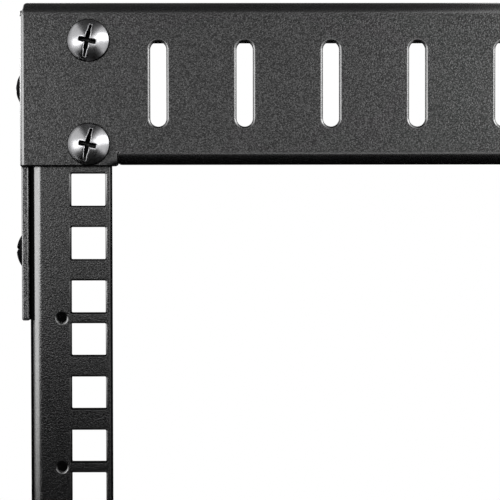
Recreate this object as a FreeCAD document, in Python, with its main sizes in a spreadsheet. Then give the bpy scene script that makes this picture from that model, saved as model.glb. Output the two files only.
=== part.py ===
"""A two-post open-frame rack for 19-inch equipment, free-standing on two foot tubes.

Millimetres. +X is to the right seen from the front, +Y to the back, +Z up.
The origin is on the floor, midway between the posts and midway along the foot tubes.
"""
import FreeCAD, Part
import math
import os
import re

import Sketcher

# The driving dimensions
SIZES = {
    # The hole pattern that all equipment of this kind fits
    "rack_unit": 44.45,
    "unit_count": 16,
    "hole_step": 15.875,
    "hole_columns": 465.1,
    "square_hole_width": 10.2,
    "square_hole_height": 9.5,
    # Folded sheet, with its coat
    "sheet": 2.2,
    "bend": 1.7,
    # Post: an angle, measured from the column of square holes
    "post_edge": 7.1,
    "post_web": 17.4,
    "post_depth": 80.0,
    "pilot_hole": 2.7,
    "pilot_offset": 7.95,
    # Rail: a channel whose cap covers the posts
    "rail_height": 47.4,
    "tab_drop": 1.2,
    "tab_clearance": 0.4,
    "flange_depth": 15.0,
    "flange_relief": 2.1,
    "corner_inset": 1.2,
    "slot_width": 4.8,
    "slot_length": 25.1,
    "slot_pitch": 25.5,
    "slot_start": 21.0,
    "slot_count": 8,
    # Face screws: nearer the rail's middle than the square holes, by the float of their nuts
    "face_screw_inset": 0.5,
    "face_screw_draw": 0.65,
    # Ears: the rail's ends, folded back along the posts
    "side_gap": 0.3,
    "ear_depth": 36.0,
    "ear_setback": 1.0,
    "ear_drop": 45.7,
    "ear_corner": 5.0,
    "ear_screw_back": 17.0,
    "ear_screw_drop": 25.1,
    "screw_hole": 6.6,
    # Foot tubes and their plugs
    "foot_length": 460.0,
    "tube_width": 40.0,
    "tube_height": 30.0,
    "tube_wall": 2.0,
    "tube_corner": 3.0,
    "foot_bolt_spacing": 36.0,
    "plug_plate": 3.0,
    "plug_insert": 14.0,
    "plug_clearance": 0.2,
    "plug_wall": 2.0,
    "plug_edge": 1.0,
    # Gussets behind the posts
    "gusset_sheet": 3.0,
    "gusset_lap": 30.0,
    "gusset_height": 250.0,
    "gusset_reach": 150.0,
    "gusset_toe": 20.0,
    "gusset_flange": 28.0,
    "gusset_clearance": 6.0,
    "gusset_hole_inset": 22.0,
    "gusset_corner": 8.0,
    # Levelling feet
    "stud_inset": 35.0,
    "stud_diameter": 10.0,
    "stud_hole": 10.4,
    "stud_gap": 5.0,
    "stud_tail": 12.0,
    "collar_height": 6.0,
    "collar_flats": 17.0,
    "pad_diameter": 40.0,
    "pad_rim": 4.0,
    "pad_height": 9.0,
    "pad_boss": 22.0,
}

# Places worked out from the sizes
OUTER_BEND = "(bend + sheet)"
FIRST_HOLE = "((rack_unit - 2 * hole_step) / 2)"
BAY_HEIGHT = "(unit_count * rack_unit)"
FLANGE_FACE = "(tab_clearance + tab_drop)"
CAP_FACE = f"({FLANGE_FACE} + rail_height)"
RAIL_MIDDLE = f"((tab_clearance + {CAP_FACE}) / 2)"
FACE_SCREW_COLUMN = "(hole_columns / 2 - face_screw_inset)"
FACE_SCREW_LOW = f"({FIRST_HOLE} + face_screw_draw)"
FACE_SCREW_HIGH = f"({FIRST_HOLE} + 2 * hole_step - face_screw_draw)"
EAR_SCREW_LOW = "(tab_clearance - ear_screw_drop)"
EAR_SCREW_LINE = "(ear_screw_back - sheet)"
HALF_RAIL = "(hole_columns / 2 + post_web + side_gap + sheet)"
TUBE_LINE = f"({HALF_RAIL} - tube_width / 2)"
TUBE_BOTTOM = "(pad_height + stud_gap + collar_height)"
TUBE_TOP = f"({TUBE_BOTTOM} + tube_height)"
BAY_BOTTOM = f"({TUBE_TOP} + {CAP_FACE})"
BAY_TOP = f"({BAY_BOTTOM} + {BAY_HEIGHT})"
BAY_MIDDLE = f"({BAY_BOTTOM} + {BAY_HEIGHT} / 2)"
HALF_POST = f"({BAY_HEIGHT} / 2 + {CAP_FACE} - {OUTER_BEND})"
STUD_LINE = "(foot_length / 2 - stud_inset)"

# The points of a sketch's lines and arcs, as constraints number them
START, END, CENTRE = range(1, 4)

doc = FreeCAD.newDocument("open_frame_rack")
sizes = doc.addObject("Spreadsheet::Sheet", "Sizes")
for row, (alias, value) in enumerate(SIZES.items(), start=1):
    sizes.set(f"A{row}", alias)
    sizes.set(f"B{row}", str(value))
    sizes.setAlias(f"B{row}", alias)
doc.recompute()


def bound(formula):
    """The formula with each size name pointing at its cell in the sheet."""
    def to_cell(word):
        return "Sizes." + word.group() if word.group() in SIZES else word.group()
    return re.sub(r"[a-z_]+", to_cell, formula)


def number(formula):
    """What the formula comes to with the sizes in the sheet."""
    return float(sizes.evalExpression(bound(formula)))


def bind(thing, **formulas):
    """Ties properties of an object to formulas of the sizes."""
    for name, formula in formulas.items():
        thing.setExpression(name, bound(formula))


def place(thing, x="", y="", z=""):
    """Ties the place of an object to formulas of the sizes."""
    for axis, formula in zip("xyz", (x, y, z)):
        if formula:
            thing.setExpression(f"Placement.Base.{axis}", bound(formula))


def new_body(label):
    """An empty body with its label."""
    body = doc.addObject("PartDesign::Body", label)
    body.Label = label
    return body


def origin_feature(body, role):
    """A plane or an axis of the body's own origin."""
    return next(part for part in body.Origin.OriginFeatures if part.Role == role)


def new_sketch(body, name, role, lift=""):
    """A sketch on one of the body's own origin planes, or lifted off it."""
    sketch = body.newObject("Sketcher::SketchObject", name)
    sketch.AttachmentSupport = [(origin_feature(body, role), "")]
    sketch.MapMode = "FlatFace"
    if lift:
        sketch.setExpression("AttachmentOffset.Base.z", bound(lift))
    return sketch


def fix(sketch, kind, geometry, point, formula):
    """Ties one coordinate of a sketch point to a formula."""
    rule = Sketcher.Constraint(kind, -1, 1, geometry, point, number(formula))
    index = sketch.addConstraint(rule)
    sketch.setExpression(f"Constraints[{index}]", bound(formula))


def outline(sketch, corners):
    """Draws a closed outline through corners (x, y).

    A corner with a centre and a turn, (x, y, (cx, cy), turn), is reached by an arc,
    anticlockwise where turn is 1 and clockwise where it is -1.
    """
    spots = [FreeCAD.Vector(number(corner[0]), number(corner[1]), 0) for corner in corners]
    ends = []
    for index, corner in enumerate(corners):
        here, last = spots[index], spots[index - 1]
        if len(corner) == 2:
            line = sketch.addGeometry(Part.LineSegment(last, here))
            ends.append((line, START, END))
            continue
        centre_x, centre_y = corner[2]
        centre = FreeCAD.Vector(number(centre_x), number(centre_y), 0)
        circle = Part.Circle(centre, FreeCAD.Vector(0, 0, 1), (here - centre).Length)
        anticlockwise = corner[3] > 0
        first, second = (last, here) if anticlockwise else (here, last)
        angles = circle.parameter(first), circle.parameter(second)
        arc = sketch.addGeometry(Part.ArcOfCircle(circle, *angles))
        ends.append((arc, START, END) if anticlockwise else (arc, END, START))
        across = abs(here.x - last.x) >= abs(here.y - last.y)
        if across:
            fix(sketch, "DistanceY", arc, CENTRE, centre_y)
        else:
            fix(sketch, "DistanceX", arc, CENTRE, centre_x)
    for index, (geometry, begin, end) in enumerate(ends):
        before = ends[index - 1]
        sketch.addConstraint(Sketcher.Constraint("Coincident", before[0], before[2], geometry, begin))
        fix(sketch, "DistanceX", geometry, end, corners[index][0])
        fix(sketch, "DistanceY", geometry, end, corners[index][1])


def rectangle(sketch, left, right, low, high):
    """Draws an upright rectangle."""
    outline(sketch, [(left, low), (right, low), (right, high), (left, high)])


def rounded_rectangle(sketch, width, height, radius):
    """Draws a rectangle with rounded corners about the sketch's origin."""
    east, north = f"({width} / 2)", f"({height} / 2)"
    in_east, in_north = f"({east} - {radius})", f"({north} - {radius})"
    outline(sketch, [
        (in_east, f"-{north}"),
        (east, f"-{in_north}", (in_east, f"-{in_north}"), 1),
        (east, in_north),
        (in_east, north, (in_east, in_north), 1),
        (f"-{in_east}", north),
        (f"-{east}", in_north, (f"-{in_east}", in_north), 1),
        (f"-{east}", f"-{in_north}"),
        (f"-{in_east}", f"-{north}", (f"-{in_east}", f"-{in_north}"), 1),
    ])


def circle(sketch, x, y, diameter):
    """Draws a circle."""
    middle = FreeCAD.Vector(number(x), number(y), 0)
    ring = sketch.addGeometry(Part.Circle(middle, FreeCAD.Vector(0, 0, 1), number(diameter) / 2))
    fix(sketch, "DistanceX", ring, CENTRE, x)
    fix(sketch, "DistanceY", ring, CENTRE, y)
    index = sketch.addConstraint(Sketcher.Constraint("Diameter", ring, number(diameter)))
    sketch.setExpression(f"Constraints[{index}]", bound(diameter))


def pad(body, sketch, length, middle=False, turned=False):
    """Raises a sketch to a solid, from its plane, the other way or to both sides of it."""
    feature = body.newObject("PartDesign::Pad", sketch.Name + "_pad")
    feature.Profile = sketch
    feature.Midplane = middle
    feature.Reversed = turned
    bind(feature, Length=length)
    doc.recompute()
    return feature


def cut_through(body, sketch, middle=False, turned=False):
    """Cuts a sketch through the solid behind its plane, before it or to both sides of it."""
    before = body.Shape.Volume
    feature = body.newObject("PartDesign::Pocket", sketch.Name + "_cut")
    feature.Profile = sketch
    feature.Type = "ThroughAll"
    feature.Midplane = middle
    feature.Reversed = turned
    doc.recompute()
    if not body.Shape.Volume < before:
        raise RuntimeError(f"{feature.Name} cuts nothing")
    return feature


def repeat(body, feature, axis_role, step, count):
    """Repeats a feature along one of the body's axes."""
    pattern = body.newObject("PartDesign::LinearPattern", feature.Name + "_row")
    pattern.Originals = [feature]
    pattern.Direction = (origin_feature(body, axis_role), [""])
    bind(pattern, Length=f"({count} - 1) * {step}", Occurrences=count)
    body.Tip = pattern
    doc.recompute()
    return pattern


def round_edges(body, feature, spots, radius):
    """Rounds the straight edges along X that pass through the given (y, z) spots."""
    near = 0.01
    places = [(number(y), number(z)) for y, z in spots]

    def on_spot(edge):
        box = edge.BoundBox
        runs_along_x = box.YLength + box.ZLength < near
        return runs_along_x and any(
            abs(box.Center.y - y) + abs(box.Center.z - z) < near for y, z in places)

    edges = [f"Edge{index}" for index, edge in enumerate(feature.Shape.Edges, start=1) if on_spot(edge)]
    fillet = body.newObject("PartDesign::Fillet", feature.Name + "_round")
    fillet.Base = (feature, edges)
    bind(fillet, Radius=radius)
    doc.recompute()
    return fillet


def mirrored(body, label):
    """The same piece for the other side of the rack."""
    copy = doc.addObject("Part::Mirroring", label)
    copy.Label = label
    copy.Source = body
    copy.Normal = FreeCAD.Vector(1, 0, 0)
    return copy


# Left post: an angle folded from sheet. Its frame is at the column of square holes,
# on the front face, at half the post's length.
left_post = new_body("left_post")
web_outer = "-post_web"
web_inner = "(sheet - post_web)"
section = new_sketch(left_post, "post_section", "XY_Plane")
outline(section, [
    ("post_edge", "0"),
    ("post_edge", "sheet"),
    (f"({web_inner} + bend)", "sheet"),
    (web_inner, OUTER_BEND, (f"({web_inner} + bend)", OUTER_BEND), -1),
    (web_inner, "post_depth"),
    (web_outer, "post_depth"),
    (web_outer, OUTER_BEND),
    (f"({web_outer} + {OUTER_BEND})", "0", (f"({web_outer} + {OUTER_BEND})", OUTER_BEND), 1),
])
pad(left_post, section, f"2 * {HALF_POST}", middle=True)

# Square holes: three to a rack unit, on through the units that the rails cover
squares = new_sketch(left_post, "square_holes", "XZ_Plane")
lowest_unit = f"(-{BAY_HEIGHT} / 2 - rack_unit)"
for step in range(3):
    hole_middle = f"({lowest_unit} + {FIRST_HOLE} + {step} * hole_step)"
    rectangle(squares, "-square_hole_width / 2", "square_hole_width / 2",
              f"({hole_middle} - square_hole_height / 2)", f"({hole_middle} + square_hole_height / 2)")
square_cut = cut_through(left_post, squares)
repeat(left_post, square_cut, "Z_Axis", "rack_unit", "(unit_count + 2)")

# Pilot holes: one at each line between two rack units
pilots = new_sketch(left_post, "pilot_holes", "XZ_Plane")
circle(pilots, "-pilot_offset", f"(rack_unit - {BAY_HEIGHT} / 2)", "pilot_hole")
pilot_cut = cut_through(left_post, pilots)
repeat(left_post, pilot_cut, "Z_Axis", "rack_unit", "(unit_count - 1)")

# Holes in the web: for the ears at both ends, and for the gusset at the foot
web_holes = new_sketch(left_post, "web_holes", "YZ_Plane")
for end in ("", "-"):
    for height in (RAIL_MIDDLE, EAR_SCREW_LOW):
        circle(web_holes, EAR_SCREW_LINE, f"{end}({BAY_HEIGHT} / 2 + {height})", "screw_hole")
gusset_screw_line = "(post_depth - gusset_lap / 2)"
gusset_screw_low = "(sheet + gusset_clearance + gusset_hole_inset)"
gusset_screw_high = "(gusset_height - gusset_hole_inset)"
for height in (gusset_screw_low, gusset_screw_high):
    circle(web_holes, gusset_screw_line, f"({height} - {BAY_HEIGHT} / 2 - {CAP_FACE})", "screw_hole")
cut_through(left_post, web_holes, middle=True)
place(left_post, "-hole_columns / 2", "-post_depth / 2", BAY_MIDDLE)
right_post = mirrored(left_post, "right_post")


def make_rail(label, foot_bolts):
    """A rail in its own frame: on the posts' front faces, at the edge of the rack units.

    One sheet makes the slotted face, the cap over the posts' ends, the short flange
    between the posts, and the two ears.
    """
    rail = new_body(label)
    ear_back = "(ear_depth - sheet)"
    ear_inner = f"({HALF_RAIL} - sheet)"
    outer_centre = f"({HALF_RAIL} - {OUTER_BEND})"

    # Face and ears, as they show in a plan
    plan = new_sketch(rail, label + "_plan", "XY_Plane", "tab_clearance")
    outline(plan, [
        (f"-{outer_centre}", "-sheet", (f"-{outer_centre}", "bend"), 1),
        (outer_centre, "-sheet"),
        (HALF_RAIL, "bend", (outer_centre, "bend"), 1),
        (HALF_RAIL, ear_back),
        (ear_inner, ear_back),
        (ear_inner, "bend"),
        (outer_centre, "0", (outer_centre, "bend"), -1),
        (f"-{outer_centre}", "0"),
        (f"-{ear_inner}", "bend", (f"-{outer_centre}", "bend"), -1),
        (f"-{ear_inner}", ear_back),
        (f"-{HALF_RAIL}", ear_back),
        (f"-{HALF_RAIL}", "bend"),
    ])
    pad(rail, plan, f"tab_drop + rail_height - {OUTER_BEND}")

    # The ears run on past the face, down the posts, with rounded corners at the back
    ear_end = "(tab_clearance - ear_drop)"
    cap_line = f"({CAP_FACE} - {OUTER_BEND})"
    for side, start in (("left", f"-{HALF_RAIL}"), ("right", ear_inner)):
        drop = new_sketch(rail, f"{label}_{side}_ear", "YZ_Plane", start)
        rectangle(drop, "(bend + ear_setback)", ear_back, ear_end, cap_line)
        ears = pad(rail, drop, "sheet")
    round_edges(rail, ears, [(ear_back, ear_end), (ear_back, cap_line)], "ear_corner")

    # Between the posts the face ends in a bend and a short flange
    half_flange = "(hole_columns / 2 - post_edge - flange_relief)"
    bend_line = f"({FLANGE_FACE} + {OUTER_BEND})"
    edge = new_sketch(rail, label + "_edge", "XZ_Plane", "sheet")
    rectangle(edge, f"-{half_flange}", half_flange, "tab_clearance", bend_line)
    cut_through(rail, edge)
    flange = new_sketch(rail, label + "_flange", "YZ_Plane")
    outline(flange, [
        ("-sheet", bend_line),
        ("bend", FLANGE_FACE, ("bend", bend_line), 1),
        ("(flange_depth - sheet)", FLANGE_FACE),
        ("(flange_depth - sheet)", f"({FLANGE_FACE} + sheet)"),
        ("bend", f"({FLANGE_FACE} + sheet)"),
        ("0", bend_line, ("bend", bend_line), -1),
    ])
    pad(rail, flange, f"2 * {half_flange}", middle=True)

    # The cap reaches back over the posts' ends
    cap = new_sketch(rail, label + "_cap", "YZ_Plane")
    outline(cap, [
        ("0", cap_line),
        ("bend", f"({CAP_FACE} - sheet)", ("bend", cap_line), -1),
        ("post_depth", f"({CAP_FACE} - sheet)"),
        ("post_depth", CAP_FACE),
        ("bend", CAP_FACE),
        ("-sheet", cap_line, ("bend", cap_line), 1),
    ])
    pad(rail, cap, f"2 * ({HALF_RAIL} - corner_inset)", middle=True)

    # Slots: a row from each end towards a bare middle
    slot_low = f"({RAIL_MIDDLE} - slot_length / 2 + slot_width / 2)"
    slot_high = f"({RAIL_MIDDLE} + slot_length / 2 - slot_width / 2)"
    row_length = "(slot_count - 1) * slot_pitch"
    for side, line in (
            ("left", "(slot_start - hole_columns / 2)"),
            ("right", f"(hole_columns / 2 - slot_start - {row_length})")):
        slot = new_sketch(rail, f"{label}_{side}_slot", "XZ_Plane", "sheet")
        slot_left, slot_right = f"({line} - slot_width / 2)", f"({line} + slot_width / 2)"
        outline(slot, [
            (slot_right, slot_low, (line, slot_low), 1),
            (slot_right, slot_high),
            (slot_left, slot_high, (line, slot_high), 1),
            (slot_left, slot_low),
        ])
        repeat(rail, cut_through(rail, slot), "X_Axis", "slot_pitch", "slot_count")

    # Screw holes: two through each end of the face, two through each ear
    face_holes = new_sketch(rail, label + "_face_holes", "XZ_Plane", "sheet")
    for column in (f"-{FACE_SCREW_COLUMN}", FACE_SCREW_COLUMN):
        for height in (FACE_SCREW_LOW, FACE_SCREW_HIGH):
            circle(face_holes, column, height, "screw_hole")
    cut_through(rail, face_holes)
    ear_holes = new_sketch(rail, label + "_ear_holes", "YZ_Plane")
    for height in (RAIL_MIDDLE, EAR_SCREW_LOW):
        circle(ear_holes, EAR_SCREW_LINE, height, "screw_hole")
    cut_through(rail, ear_holes, middle=True)

    # Holes where the cap is bolted down to the foot tubes
    if foot_bolts:
        cap_holes = new_sketch(rail, label + "_cap_holes", "XY_Plane", f"({CAP_FACE})")
        for column in (f"-{TUBE_LINE}", TUBE_LINE):
            for offset in ("- foot_bolt_spacing / 2", "+ foot_bolt_spacing / 2"):
                circle(cap_holes, column, f"(post_depth / 2 {offset})", "screw_hole")
        cut_through(rail, cap_holes)
    return rail


# Top rail, and bottom rail turned upside down
HALF_TURN = math.degrees(math.pi)
top_rail = make_rail("top_rail", foot_bolts=False)
place(top_rail, y="-post_depth / 2", z=BAY_TOP)
bottom_rail = make_rail("bottom_rail", foot_bolts=True)
bottom_rail.Placement.Rotation = FreeCAD.Rotation(FreeCAD.Vector(0, 1, 0), HALF_TURN)
place(bottom_rail, y="-post_depth / 2", z=BAY_BOTTOM)

# Left foot tube: its frame is at the middle of the tube
left_foot_tube = new_body("left_foot_tube")
tube_section = new_sketch(left_foot_tube, "tube_section", "XZ_Plane")
tube_bore_width = "(tube_width - 2 * tube_wall)"
tube_bore_height = "(tube_height - 2 * tube_wall)"
tube_bore_corner = "(tube_corner - tube_wall)"
rounded_rectangle(tube_section, "tube_width", "tube_height", "tube_corner")
rounded_rectangle(tube_section, tube_bore_width, tube_bore_height, tube_bore_corner)
pad(left_foot_tube, tube_section, "foot_length", middle=True)

# Holes in the top of the tube for the cap and the gusset, and below for the studs
gusset_start = "(post_depth / 2 + gusset_clearance)"
gusset_end = "(post_depth / 2 + gusset_reach)"
gusset_bolts = [f"({gusset_start} + gusset_hole_inset)", f"({gusset_end} - gusset_hole_inset)"]
top_holes = new_sketch(left_foot_tube, "tube_top_holes", "XY_Plane")
for line in ("-foot_bolt_spacing / 2", "foot_bolt_spacing / 2", *gusset_bolts):
    circle(top_holes, "0", line, "screw_hole")
cut_through(left_foot_tube, top_holes, turned=True)
stud_holes = new_sketch(left_foot_tube, "tube_stud_holes", "XY_Plane")
for line in (f"-{STUD_LINE}", STUD_LINE):
    circle(stud_holes, "0", line, "stud_hole")
cut_through(left_foot_tube, stud_holes)
place(left_foot_tube, f"-{TUBE_LINE}", z=f"({TUBE_BOTTOM} + tube_height / 2)")
right_foot_tube = mirrored(left_foot_tube, "right_foot_tube")

# Left gusset: its frame is on the web's inner face, at the top of the tube
left_gusset = new_body("left_gusset")
gusset_bend = "(bend + gusset_sheet)"
gusset_front = "(post_depth / 2 - gusset_lap)"
gusset_notch = "(sheet + gusset_clearance)"
plate = new_sketch(left_gusset, "gusset_plate", "YZ_Plane")
outline(plate, [
    (gusset_start, gusset_bend),
    (gusset_end, gusset_bend),
    (gusset_end, "gusset_toe"),
    ("post_depth / 2", "gusset_height"),
    (gusset_front, "gusset_height"),
    (gusset_front, gusset_notch),
    (gusset_start, gusset_notch),
])
gusset_plate = pad(left_gusset, plate, "gusset_sheet")
round_edges(left_gusset, gusset_plate, [
    (gusset_end, "gusset_toe"),
    ("post_depth / 2", "gusset_height"),
    (gusset_front, "gusset_height"),
    (gusset_front, gusset_notch),
], "gusset_corner")
foot = new_sketch(left_gusset, "gusset_foot", "XZ_Plane", f"-{gusset_end}")
outline(foot, [
    ("0", gusset_bend),
    (gusset_bend, "0", (gusset_bend, gusset_bend), 1),
    ("gusset_flange", "0"),
    ("gusset_flange", "gusset_sheet"),
    (gusset_bend, "gusset_sheet"),
    ("gusset_sheet", gusset_bend, (gusset_bend, gusset_bend), -1),
])
pad(left_gusset, foot, f"{gusset_end} - {gusset_start}")
plate_holes = new_sketch(left_gusset, "gusset_plate_holes", "YZ_Plane")
for height in (gusset_screw_low, gusset_screw_high):
    circle(plate_holes, "(post_depth / 2 - gusset_lap / 2)", height, "screw_hole")
cut_through(left_gusset, plate_holes, turned=True)
foot_holes = new_sketch(left_gusset, "gusset_foot_holes", "XY_Plane", "gusset_sheet")
for line in gusset_bolts:
    circle(foot_holes, "(tube_width / 2 - side_gap - 2 * sheet)", line, "screw_hole")
cut_through(left_gusset, foot_holes)
place(left_gusset, "(sheet - post_web - hole_columns / 2)", z=TUBE_TOP)
right_gusset = mirrored(left_gusset, "right_gusset")


def make_plug(label):
    """A plug in its own frame: on the end of the tube, which runs back from it."""
    plug = new_body(label)
    face = new_sketch(plug, label + "_face", "XZ_Plane")
    rounded_rectangle(face, "tube_width", "tube_height", "tube_corner")
    face_pad = pad(plug, face, "plug_plate")
    front = [f"Edge{index}" for index, edge in enumerate(face_pad.Shape.Edges, start=1)
             if edge.BoundBox.YMax < -number("plug_plate") / 2]
    chamfer = plug.newObject("PartDesign::Chamfer", label + "_chamfer")
    chamfer.Base = (face_pad, front)
    bind(chamfer, Size="plug_edge")
    doc.recompute()
    insert = new_sketch(plug, label + "_insert", "XZ_Plane")
    insert_width = f"({tube_bore_width} - 2 * plug_clearance)"
    insert_height = f"({tube_bore_height} - 2 * plug_clearance)"
    rounded_rectangle(insert, insert_width, insert_height, tube_bore_corner)
    hollow_half_width = f"({insert_width} / 2 - plug_wall)"
    hollow_half_height = f"({insert_height} / 2 - plug_wall)"
    rectangle(insert, f"-{hollow_half_width}", hollow_half_width,
              f"-{hollow_half_height}", hollow_half_height)
    pad(plug, insert, "plug_insert", turned=True)
    return plug


def make_stud(label):
    """A levelling stud in its own frame: its foot on the pad, its collar under the tube."""
    shank = doc.addObject("Part::Cylinder", label + "_shank")
    bind(shank, Radius="stud_diameter / 2", Height="stud_gap + collar_height + tube_wall + stud_tail")
    collar = doc.addObject("Part::Prism", label + "_collar")
    collar.Polygon = 6
    bind(collar, Circumradius="collar_flats / sqrt(3)", Height="collar_height")
    place(collar, z="stud_gap")
    stud = doc.addObject("Part::Fuse", label)
    stud.Label = label
    stud.Base = shank
    stud.Tool = collar
    return stud


def make_pad(label):
    """A levelling pad in its own frame: turned about its middle, standing on the floor."""
    sole = new_body(label)
    profile = new_sketch(sole, label + "_profile", "XZ_Plane")
    outline(profile, [
        ("0", "0"),
        ("pad_diameter / 2", "0"),
        ("pad_diameter / 2", "pad_rim"),
        ("pad_boss / 2", "pad_height"),
        ("0", "pad_height"),
    ])
    turned = sole.newObject("PartDesign::Revolution", label + "_turned")
    turned.Profile = profile
    turned.ReferenceAxis = (origin_feature(sole, "Z_Axis"), [""])
    doc.recompute()
    return sole


# A plug, a stud and a pad at each end of each tube
nodes = [left_post, right_post, top_rail, bottom_rail,
         left_foot_tube, right_foot_tube, left_gusset, right_gusset]
for side, x_sign in (("left", "-"), ("right", "")):
    for end, y_sign, turn in (("front", "-", 0), ("rear", "", HALF_TURN)):
        corner = f"{end}_{side}"
        plug = make_plug(f"{corner}_plug")
        plug.Placement.Rotation = FreeCAD.Rotation(FreeCAD.Vector(0, 0, 1), turn)
        place(plug, x_sign + TUBE_LINE, y_sign + "foot_length / 2", f"({TUBE_BOTTOM} + tube_height / 2)")
        stud = make_stud(f"{corner}_stud")
        place(stud, x_sign + TUBE_LINE, y_sign + STUD_LINE, "pad_height")
        sole = make_pad(f"{corner}_pad")
        place(sole, x_sign + TUBE_LINE, y_sign + STUD_LINE)
        nodes += [plug, stud, sole]

# Every object has to be sound before a file is written
doc.recompute()
failed = [thing.Label for thing in doc.Objects if {"Invalid", "Error"} & set(thing.State)]
failed += [node.Label for node in nodes
           if node.Shape.isNull() or not node.Shape.isValid() or len(node.Shape.Solids) != 1]
if failed:
    raise RuntimeError("not sound: " + ", ".join(failed))
os.makedirs("parts", exist_ok=True)
for node in nodes:
    node.Shape.exportStep(f"parts/{node.Label}.step")
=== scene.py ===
"""The looks of a two-post open-frame rack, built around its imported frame.

Pieces are drawn in millimetres and stand in the scene in metres, in the frame's own axes:
+X to the right seen from the front, +Y to the back, +Z up, with the floor at zero.
"""

import math

import bpy
from mathutils import Matrix, Vector
from mathutils.geometry import delaunay_2d_cdt


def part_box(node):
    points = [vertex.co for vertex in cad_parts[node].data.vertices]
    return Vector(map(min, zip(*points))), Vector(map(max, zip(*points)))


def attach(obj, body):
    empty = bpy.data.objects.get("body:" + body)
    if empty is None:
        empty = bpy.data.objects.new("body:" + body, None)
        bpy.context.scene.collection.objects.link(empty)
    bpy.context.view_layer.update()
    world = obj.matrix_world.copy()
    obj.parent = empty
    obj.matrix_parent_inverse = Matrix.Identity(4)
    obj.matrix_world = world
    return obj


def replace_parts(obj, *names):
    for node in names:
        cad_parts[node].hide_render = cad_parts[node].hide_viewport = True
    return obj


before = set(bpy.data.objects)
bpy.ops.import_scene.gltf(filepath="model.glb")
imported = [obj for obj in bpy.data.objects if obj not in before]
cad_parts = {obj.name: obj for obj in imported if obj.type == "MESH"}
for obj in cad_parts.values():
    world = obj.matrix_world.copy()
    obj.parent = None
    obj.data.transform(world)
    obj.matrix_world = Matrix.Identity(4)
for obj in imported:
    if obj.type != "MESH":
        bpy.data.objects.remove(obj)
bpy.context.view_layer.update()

# Posts
# Each post is an angle folded from 2.2 mm steel sheet. Square holes for cage nuts and small
# pilot holes are punched before folding, and the powder coat rounds every edge of the sheet.
MM = 0.001
SHEET = 2.2
FOLD_RADIUS = 3.9
FOLD_ARC = FOLD_RADIUS * math.pi / 2
FOLD_STEPS = 8
CORNER_STEPS = 5
SLOT_END_STEPS = 16
EDGE_STEPS = 4
COAT_EDGE = (0.4, 0.4)
POST_EDGE = (0.8, 0.7)
SQUARE_EDGE = (0.7, 0.3)
PILOT_EDGE = (0.7, 0.6)
EDGE_WEAR = 0.2
RACK_UNIT = 44.45
RACK_UNITS = 16
HOLE_STEP = 15.875
HOLE_COLUMN = 232.55
SQUARE_HOLE_WIDTH = 10.2
SQUARE_HOLE_HEIGHT = 9.5
SQUARE_HOLE_CORNER = 0.3
PILOT_HOLE = 2.7
PILOT_OFFSET = 7.95
SCREW_HOLE = 6.6
SNUG = 0.25
EAR_SCREW_BACK = 14.8
EAR_SCREW_RISE = 24.7
GUSSET_SCREW_BACK = 65.0
GUSSET_SCREWS = (80.2, 278.0)


def millimetres(node):
    """The lowest and highest corner of a node of the frame."""
    return [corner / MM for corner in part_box(node)]


def arc(x, y, radius, start, end, steps):
    """Points on an arc, from one angle to another."""
    angles = [start + (end - start) * step / steps for step in range(steps + 1)]
    return [Vector((x + radius * math.cos(angle), y + radius * math.sin(angle))) for angle in angles]


def rounded(corners):
    """An anticlockwise outline through corners (x, y, radius), with arcs at the rounded ones."""
    outline = []
    for index, (x, y, radius) in enumerate(corners):
        corner = Vector((x, y))
        if not radius:
            outline.append(corner)
            continue
        back = (Vector(corners[index - 1][:2]) - corner).normalized()
        on = (Vector(corners[(index + 1) % len(corners)][:2]) - corner).normalized()
        half = back.angle(on) / 2
        middle = corner + (back + on).normalized() * radius / math.sin(half)
        first = corner + back * radius / math.tan(half) - middle
        last = corner + on * radius / math.tan(half) - middle
        start = math.atan2(first.y, first.x)
        outline += arc(middle.x, middle.y, radius, start, start - first.angle_signed(last), CORNER_STEPS)
    return outline


def rectangle(west, east, south, north, corner=0):
    """An anticlockwise rectangle, its corners rounded."""
    return rounded([(west, south, corner), (east, south, corner),
                    (east, north, corner), (west, north, corner)])


def square_hole(x, y):
    """A square hole, clockwise, and its edge."""
    east, north = SQUARE_HOLE_WIDTH / 2, SQUARE_HOLE_HEIGHT / 2
    loop = rectangle(x - east, x + east, y - north, y + north, SQUARE_HOLE_CORNER)
    return loop[::-1], SQUARE_EDGE


def long_hole(x, y, width, length, edge):
    """An upright slot with round ends, clockwise, and its edge."""
    radius, reach = width / 2, (length - width) / 2
    top = arc(x, y + reach, radius, math.pi, 0, SLOT_END_STEPS)
    bottom = arc(x, y - reach, radius, 0, -math.pi, SLOT_END_STEPS)
    loop = top + bottom if reach else top[:-1] + bottom[:-1]
    return loop, edge


def round_hole(x, y, width=SCREW_HOLE, edge=COAT_EDGE):
    """A round hole, clockwise, and its edge: one for a screw unless it says otherwise."""
    return long_hole(x, y, width, width, edge)


def away_from_sheet(loop):
    """For each point of a loop with the sheet on its left, the way out of the sheet."""
    ways = []
    for index, point in enumerate(loop):
        before = (point - loop[index - 1]).normalized()
        after = (loop[(index + 1) % len(loop)] - point).normalized()
        out_before, out_after = Vector((before.y, -before.x)), Vector((after.y, -after.x))
        ways.append((out_before + out_after) / (1 + out_before.dot(out_after)))
    return ways


def is_inside(point, loop):
    """Whether a point lies inside a loop."""
    inside = False
    for index, end in enumerate(loop):
        start = loop[index - 1]
        if (start.y > point.y) != (end.y > point.y):
            crossing = start.x + (end.x - start.x) * (point.y - start.y) / (end.y - start.y)
            inside ^= point.x < crossing
    return inside


def folded(distance, depth, radius=FOLD_RADIUS, limit=math.pi / 2):
    """How far on and how far back a point of the sheet lies, a distance past the start of a fold."""
    if distance <= 0:
        return distance, depth
    angle = min(distance / radius, limit)
    rest = distance - radius * angle
    inner = radius - depth
    on = inner * math.sin(angle) + rest * math.cos(angle)
    return on, radius - inner * math.cos(angle) + rest * math.sin(angle)


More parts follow.
